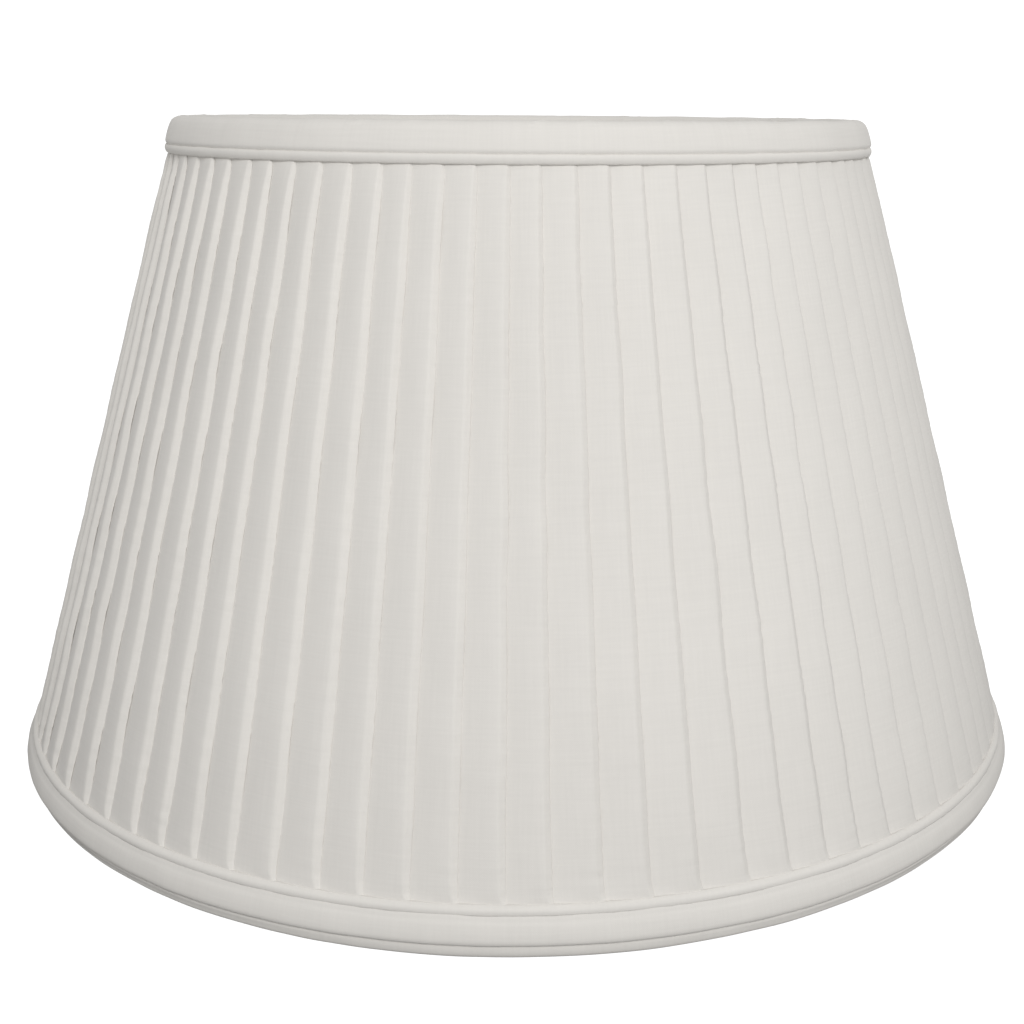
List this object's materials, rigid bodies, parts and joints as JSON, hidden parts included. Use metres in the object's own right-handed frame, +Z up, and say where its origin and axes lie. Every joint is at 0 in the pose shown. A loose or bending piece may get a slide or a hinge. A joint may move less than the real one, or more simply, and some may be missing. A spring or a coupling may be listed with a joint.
{
  "type": "pleated lamp shade",
  "caption": "Empire lamp shade with knife pleats over a lined wire frame, self-fabric bands and piping at both ends, and a recessed spider fitter.",
  "frame": {"origin": "on the shade's axis, in the plane that the bottom band stands on", "axes": "+Z up along the shade's axis, from the wide bottom rim to the narrow top rim and the fitter"},
  "size_m": [0.4564, 0.4564, 0.28],
  "materials": {
    "cover_cloth": "fine matt weave",
    "trim_cloth": "the cover's cloth, cut on the bias and folded",
    "lining_cloth": "smooth satin weave",
    "binding_tape": "plain cotton tape",
    "coated_steel": "white epoxy coating",
    "brass": "bright plated"
  },
  "bodies": {
    "root": {"top_ring": "coated_steel", "bottom_ring": "coated_steel", "rib_1": "coated_steel", "rib_2": "coated_steel", "rib_3": "coated_steel", "rib_4": "coated_steel", "rib_5": "coated_steel", "rib_6": "coated_steel", "rib_7": "coated_steel", "rib_8": "coated_steel", "fitter_hub": "brass", "fitter_arm_1": "brass", "fitter_arm_2": "brass", "fitter_arm_3": "brass", "arm_wrap_1": "lining_cloth", "arm_wrap_2": "lining_cloth", "arm_wrap_3": "lining_cloth", "top_ring_tape": "binding_tape", "bottom_ring_tape": "binding_tape", "lining": "lining_cloth", "pleated_cover": "cover_cloth", "top_band": "trim_cloth", "bottom_band": "trim_cloth", "top_piping": "trim_cloth", "bottom_piping": "trim_cloth"}
  },
  "joints": []
}
